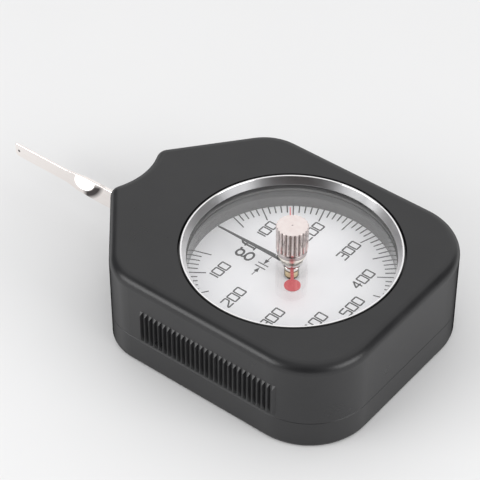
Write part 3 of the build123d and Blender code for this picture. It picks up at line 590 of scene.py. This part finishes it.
def crystal_clear():
    """A mix of clear and mirror; the mirror's share is 0.07 plus 0.93 times the fifth power of facing."""
    material = bpy.data.materials.new("clear_acrylic")
    material.use_nodes = True
    tree = material.node_tree
    tree.nodes.remove(tree.nodes["Principled BSDF"])
    see_through = add(tree, "BsdfTransparent", {"Color": (1.0, 1.0, 1.0, 1.0)})
    gloss = add(tree, "BsdfGlossy", {"Color": (1.0, 1.0, 1.0, 1.0), "Roughness": window_roughness})
    steep = maths(tree, "POWER", facing(tree), 5.0)
    share = maths(tree, "MULTIPLY_ADD", steep, 1.0 - square_on_share, square_on_share)
    path = add(tree, "LightPath")
    passing = maths(tree, "MAXIMUM", path.outputs["Is Shadow Ray"], path.outputs["Is Diffuse Ray"])
    mirror = maths(tree, "MULTIPLY", share, maths(tree, "SUBTRACT", 1.0, passing))
    mix = add(tree, "MixShader", {"Fac": mirror, 1: see_through.outputs["BSDF"], 2: gloss.outputs["BSDF"]})
    tree.links.new(mix.outputs["Shader"], tree.nodes["Material Output"].inputs["Surface"])
    return material


keep("crystal_clear", crystal_clear())


# %% [markdown]
# Handing out the finishes
#
# Each frame piece arrives with a slot that is named after its finish. The mesh of a frame piece is fixed,
# but what is in its slots isn't, so every slot gets its finish by name and no piece can be forgotten.

# %% Give every frame piece its finish
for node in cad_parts.values():
    for slot in node.material_slots:
        slot.material = finishes[slot.material.name.split(".")[0]]
print("finishes given to", len(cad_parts), "frame pieces:", sorted(finishes))


# %% [markdown]
# The dial print
#
# The scale is printed ink, some hundredths of a millimetre thick. It could be a texture, but a real layer
# stays sharp at any distance and goes out with the model. Every mark is a thin prism: ticks are boxes,
# and digits are strokes of one width, carried along their centre lines with mitred corners.

# %% Prisms and strokes
ink_foot = dial_top - 0.02 * MM
ink_head = dial_top + 0.03 * MM


def prism(ring):
    """A closed prism on the dial: ring is an outline of n points, anticlockwise from above. The corners
    are the ring at the foot and again at the top, the sides join each pair, and the ends are n-gons."""
    n = len(ring)
    foot = np.column_stack([ring, np.full(n, ink_foot)])
    head = np.column_stack([ring, np.full(n, ink_head)])
    i = np.arange(n)
    j = np.roll(i, -1)
    sides = np.column_stack([i, j, j + n, i + n]).tolist()
    return np.vstack([foot, head]), sides + [i[::-1].tolist(), (i + n).tolist()]


def stroke(points, width, closed=False):
    """A strip of ink along a line. At each point the two neighbouring directions give a mitre: the
    normal is their mean, made longer by 1 / cos(half the turn), so that the width stays the same."""
    points = np.asarray(points, float)
    ahead = np.roll(points, -1, axis=0) - points
    if not closed:
        ahead[-1] = ahead[-2]
    ahead /= np.linalg.norm(ahead, axis=1)[:, None]
    behind = np.roll(ahead, 1, axis=0)
    if not closed:
        behind[0] = ahead[0]
    mean = ahead + behind
    mean /= np.linalg.norm(mean, axis=1)[:, None]
    n = len(points)
    reach = (np.broadcast_to(width, n) / 2 / (mean * ahead).sum(axis=1))[:, None]
    side = np.column_stack([-mean[:, 1], mean[:, 0]]) * reach
    plan = np.vstack([points + side, points - side])
    corners = np.vstack([
        np.column_stack([plan, np.full(2 * n, ink_foot)]),
        np.column_stack([plan, np.full(2 * n, ink_head)]),
    ])
    left_foot, right_foot, left_head, right_head = 0, n, 2 * n, 3 * n
    a = np.arange(n if closed else n - 1)
    b = (a + 1) % n
    faces = np.vstack([
        np.column_stack([a + right_head, b + right_head, b + left_head, a + left_head]),
        np.column_stack([a + left_foot, b + left_foot, b + right_foot, a + right_foot]),
        np.column_stack([a + left_head, b + left_head, b + left_foot, a + left_foot]),
        np.column_stack([a + right_foot, b + right_foot, b + right_head, a + right_head]),
    ]).tolist()
    if not closed:
        last = n - 1
        faces.append([left_foot, right_foot, right_head, left_head])
        faces.append([last + left_foot, last + left_head, last + right_head, last + right_foot])
    return corners, faces


print("ink stands", round((ink_head - dial_top) / MM, 3), "mm proud of the dial")


# %% [markdown]
# From strokes to one object
#
# A hundred loose ticks would clutter the scene, and nobody picks up one tick. So the strokes of each kind
# of mark are joined into one mesh, by stacking their corners and raising each face's corner numbers by
# how many came before. The ink lies on the dial, which is fixed in the case, so it rides on the case.

# %% Printed pieces
def printed(name, parts):
    """Join parts of (corners, faces) into one object of ink on the dial."""
    corners = np.vstack([part[0] for part in parts])
    starts = np.cumsum([0] + [len(part[0]) for part in parts[:-1]])
    faces = [(np.array(f) + start).tolist() for part, start in zip(parts, starts) for f in part[1]]
    mesh = bpy.data.meshes.new(name)
    mesh.from_pydata(corners.tolist(), [], faces)
    mesh.materials.append(print_ink)
    piece = bpy.data.objects.new(name, mesh)
    bpy.context.scene.collection.objects.link(piece)
    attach(piece, "case")
    print(name, "has", len(mesh.polygons), "faces")


# %% [markdown]
# The ticks
#
# The scale reads both ways from a free arc at the lever's side. Each mark is a bar along a radius, so the
# marks are one loop over angles. The two arms share the mark that is opposite the lever.

# %% Ticks
tick_step = math.radians(3.6)
marks_per_long = 5
free_half_arc = math.radians(18.0)
tick_outer = dial_r - 0.1 * MM
tick_long_inner = 18.9 * MM
tick_short_inner = 20.8 * MM
tick_width = 0.27 * MM

steps = np.arange(round((math.pi - free_half_arc) / tick_step) + 1)
turns = np.concatenate([free_half_arc + steps * tick_step, -(free_half_arc + steps[:-1] * tick_step)])
long_mark = np.concatenate([steps % marks_per_long == 0, steps[:-1] % marks_per_long == 0])


def tick(turn, is_long):
    """A bar from the inner to the outer radius at a turn measured from the lever's side."""
    along = np.array([-math.cos(turn), math.sin(turn)])
    inner = tick_long_inner if is_long else tick_short_inner
    return stroke([along * inner, along * tick_outer], tick_width)


print("marks on the scale:", len(turns))
printed("scale_ticks", [tick(turn, is_long) for turn, is_long in zip(turns, long_mark)])


# %% [markdown]
# The numerals
#
# The digits are the squarish kind that engravers cut with a template: straight strokes with a small
# chamfer at each corner. Each digit is a few points on a unit box, and the box is set down upright as
# seen from the tail, so the text's up is towards the lever.

# %% Digits
digit_size = np.array([1.7, 2.4]) * MM
digit_pitch = 2.25 * MM
one_width = 0.7 * MM
ink_width = 0.34 * MM
chamfer = 0.13 * MM
largest_cut_share = 0.4

digit_lines = {
    "0": [([(-1, -1), (1, -1), (1, 1), (-1, 1)], True)],
    "1": [([(0, 1), (0, -1)], False)],
    "2": [([(-1, 1), (1, 1), (1, 0.05), (-1, -0.75), (-1, -1), (1, -1)], False)],
    "3": [([(-1, 1), (1, 1), (1, -1), (-1, -1)], False), ([(-0.35, 0.05), (1, 0.05)], False)],
    "4": [([(0.45, -1), (0.45, 1)], False), ([(0.45, 1), (-1, -0.35), (1, -0.35)], False)],
    "5": [([(1, 1), (-1, 1), (-1, 0.12), (1, 0.12), (1, -1), (-1, -1)], False)],
}


def cut_corners(points, cut, closed):
    """Replace each corner by two points that lie cut before it and cut after it along the line, or a
    share of the side where the side is short."""
    points = np.asarray(points, float)
    ahead = np.roll(points, -1, axis=0) - points
    length = np.linalg.norm(ahead, axis=1)[:, None]
    step = ahead / length * np.minimum(cut, length * largest_cut_share)
    pairs = np.stack([points - np.roll(step, 1, axis=0), points + step], axis=1)
    if not closed:
        return np.vstack([points[:1], pairs[1:-1].reshape(-1, 2), points[-1:]])
    return pairs.reshape(-1, 2)


def on_dial(points, centre):
    """Text coordinates (right, up) to the frame: right is +Y and up is -X, about a centre (x, y)."""
    points = np.asarray(points, float)
    return np.column_stack([centre[0] - points[:, 1], centre[1] + points[:, 0]])


print("digits that can be set:", "".join(digit_lines))


# %% Numerals
numeral_places = [
    ("100", (-13.43, 8.75)), ("200", (-4.9, 14.25)), ("300", (5.28, 14.2)), ("400", (13.2, 8.6)),
    ("500", (16.45, 0.05)),
    ("100", (-13.43, -8.4)), ("200", (-5.68, -13.5)), ("300", (4.9, -13.45)), ("400", (13.0, -8.75)),
]


def number(text, centre):
    """The strokes of a number, with its digits side by side about the centre."""
    widths = np.array([one_width if digit == "1" else digit_pitch for digit in text])
    middles = np.cumsum(widths) - widths / 2 - widths.sum() / 2
    parts = []
    for digit, shift in zip(text, middles):
        for points, closed in digit_lines[digit]:
            line = np.array(points) * digit_size / 2
            if len(line) > 2:
                line = cut_corners(line, chamfer, closed)
            parts.append(stroke(on_dial(line + [shift, 0], centre), ink_width, closed))
    return parts


printed("scale_numerals", [
    part for text, centre in numeral_places for part in number(text, np.array(centre) * MM)
])


# %% [markdown]
# The unit
#
# Near the lever stands the unit, gram-force, in a book face with thick and thin strokes. A font would need
# a file, so the two letters are drawn as the digits are, with a width that changes on the way: the round
# strokes are thickest at their left and right, as a broad pen makes them.

# %% Unit
letter_origin = (-12.75 * MM, 0.3 * MM)
oval_points = 27


def arc(centre, radii, start, end, count):
    """Points on an ellipse about a centre, from one angle to another in degrees."""
    turn = np.radians(np.linspace(start, end, count))
    return np.column_stack([centre[0] + radii[0] * np.cos(turn), centre[1] + radii[1] * np.sin(turn)])


def oval(centre, radii, thin, extra):
    """A closed oval stroke: its line, and its width, which is thin plus extra times |cos(angle)|."""
    turn = np.radians(np.linspace(0, 360, oval_points + 1)[:-1])
    line = arc(centre, radii, 0, 360, oval_points + 1)[:-1]
    return line, thin + extra * np.abs(np.cos(turn)), True


hook = arc((2.3, 1.75), (0.85, 1.0), 170, 75, 8)
letters = [
    oval((-1.47, 0.75), (1.02, 0.82), 0.42, 0.15),
    oval((-1.27, -1.72), (1.28, 0.87), 0.42, 0.13),
    ([(-2.0, 0.0), (-2.3, -0.35), (-2.05, -0.75), (-1.2, -0.86)], 0.45, False),
    ([(-0.62, 1.15), (-0.3, 1.38), (0.15, 1.36)], [0.34, 0.42, 0.54], False),
    (np.vstack([[(1.45, -1.1)], [(1.45, 1.75)], hook]), 0.5, False),
    ([(0.9, 1.32), (2.3, 1.32)], 0.37, False),
    ([(0.85, -1.13), (2.1, -1.13)], 0.35, False),
]
printed("unit_mark", [
    stroke(on_dial(np.array(line) * MM, letter_origin), np.array(width) * MM, closed)
    for line, width, closed in letters
])


# %% [markdown]
# The rest mark
#
# Beside the unit a sign shows where the pointer rests: two bars side by side with an arrow towards each
# from outside. One loop draws a bar, a shaft and a head for each side, and the way from the bar to the
# shaft's outer end gives the arrow its direction.

# %% Rest mark
rest_mark_x = -7.0 * MM
bar_places = (-2.25, -1.15)
bar_half = 1.4
bar_width = 0.27 * MM
shaft_ends = (-5.3, 2.0)
shaft_width = 0.18 * MM
head_length = 1.55
head_half = 0.5
head_gap = 0.12

rest_parts = []
for bar, outer in zip(bar_places, shaft_ends):
    way = math.copysign(1.0, outer - bar)
    tip = bar + way * head_gap
    neck = tip + way * head_length
    bar_line = np.array([(bar, -bar_half), (bar, bar_half)]) * MM
    shaft_line = np.array([(neck, 0), (outer, 0)]) * MM
    head = np.array([(tip, 0), (neck, -way * head_half), (neck, way * head_half)]) * MM
    rest_parts.append(stroke(on_dial(bar_line, (rest_mark_x, 0)), bar_width))
    rest_parts.append(stroke(on_dial(shaft_line, (rest_mark_x, 0)), shaft_width))
    rest_parts.append(prism(on_dial(head, (rest_mark_x, 0))))
printed("rest_mark", rest_parts)


# %% [markdown]
# The floor
#
# The gauge stands on a plain pale sheet, wide enough that no view reaches its end. A faint cloud keeps it
# from looking like a filled shape, and it takes the shadow that sets the gauge down.

# %% Floor
floor_half = 3.0
floor_cloud = 50 * MM
floor_mesh = bpy.data.meshes.new("floor")
floor_corners = [(x * floor_half, y * floor_half, 0) for x, y in ((-1, -1), (1, -1), (1, 1), (-1, 1))]
floor_mesh.from_pydata(floor_corners, [], [(0, 1, 2, 3)])
floor = bpy.data.objects.new("floor", floor_mesh)
bpy.context.scene.collection.objects.link(floor)
floor_paint, floor_tree, floor_shader = finish("pale_floor", (0.8, 0.8, 0.8), 0.6)
floor_tone = tint(floor_tree, grain(floor_tree, floor_cloud), (0.79, 0.79, 0.79), (0.81, 0.81, 0.81))
wire(floor_tree, floor_tone, floor_shader, "Base Color")
floor_mesh.materials.append(floor_paint)
print("floor is", 2 * floor_half, "m wide")


# %% [markdown]
# The room
#
# Black plastic and bright metal show little of their own, so what they mirror matters most. To everything
# but gloss the room is one pale tent, which lights the gauge at a plain level. Gloss alone sees a room
# drawn on the tent: grey walls, a sheet of white paper behind the gauge, and four dark patches where a
# studio has its doors and black cards. Light Path's Is Glossy Ray chooses between the two, so the
# reflections can be arranged without changing the light. Each patch is a soft round spot: its heading in
# degrees, the cosines at which it starts and is full, and its colour.

# %% Room
tent_white = (0.9, 0.9, 0.905)
wall_grey = (0.5, 0.5, 0.505)
paper_white = (0.95, 0.95, 0.95)
paper_way, paper_edges = (120, 42), (0.5, 0.75)
dark_patches = [
    ((-60, 25), (0.75, 0.95), (0.05, 0.05, 0.05)),
    ((-135, 60), (0.93, 0.98), (0.3, 0.3, 0.3)),
    ((46, 24), (0.86, 0.97), (0.08, 0.08, 0.08)),
    ((188, 12), (0.75, 0.93), (0.2, 0.2, 0.205)),
]

world = bpy.data.worlds.new("pale_tent")
bpy.context.scene.world = world
world.use_nodes = True
world_tree = world.node_tree
sky = world_tree.nodes["Background"]
direction = add(world_tree, "TexCoord").outputs["Generated"]


def heading(turn, rise):
    """A unit vector from an azimuth, counted from +X towards +Y, and an elevation, both in degrees."""
    turn, rise = math.radians(turn), math.radians(rise)
    return Vector((math.cos(turn) * math.cos(rise), math.sin(turn) * math.cos(rise), math.sin(rise)))


def nearness(way, near, far):
    """From 0 to 1 as the ray turns from near to far, both cosines of its angle to a heading."""
    cosine = vector_maths(world_tree, "DOT_PRODUCT", direction, tuple(heading(*way)))
    return spread(world_tree, cosine, 0.0, 1.0, near=near, far=far)


upness = add(world_tree, "SeparateXYZ", {"Vector": direction}).outputs["Z"]
raised = spread(world_tree, upness, 0.0, 1.0, near=-0.05, far=0.4)
paper = maths(world_tree, "MULTIPLY", nearness(paper_way, *paper_edges), raised)
room = tint(world_tree, paper, wall_grey, paper_white)
for way, (near, far), patch in dark_patches:
    room = tint(world_tree, nearness(way, near, far), room, patch)
gloss_only = add(world_tree, "LightPath").outputs["Is Glossy Ray"]
wire(world_tree, tint(world_tree, gloss_only, tent_white, room), sky, "Color")
sky.inputs["Strength"].default_value = 1.0
print("room drawn with", len(world_tree.nodes), "nodes")


# %% [markdown]
# The lamps
#
# The tent alone lights evenly, which looks flat. Two weak softboxes, one in front at the left and one at
# the right, give the near walls and the knob a brighter side, and show up as soft shapes in the metal.
# A point lamp would do for the light, but an area lamp that is large for its distance keeps shadows soft.

# %% Lamps
lamp_distance = 0.6
lamp_power = 1.3


def softbox(name, way, size):
    """An area lamp in a direction from the dial, facing it."""
    data = bpy.data.lights.new(name, "AREA")
    data.shape = "RECTANGLE"
    data.size, data.size_y = size
    data.energy = lamp_power
    lamp = bpy.data.objects.new(name, data)
    bpy.context.scene.collection.objects.link(lamp)
    away = heading(*way).normalized()
    turned = away.to_track_quat("Z", "Y").to_matrix().to_4x4()
    lamp.matrix_world = Matrix.Translation(away * lamp_distance + Vector((0, 0, dial_top))) @ turned


softbox("left_softbox", (-121, 22), (0.42, 0.30))
softbox("right_softbox", (4, 24), (0.40, 0.32))
bpy.context.scene.view_settings.view_transform = "Standard"
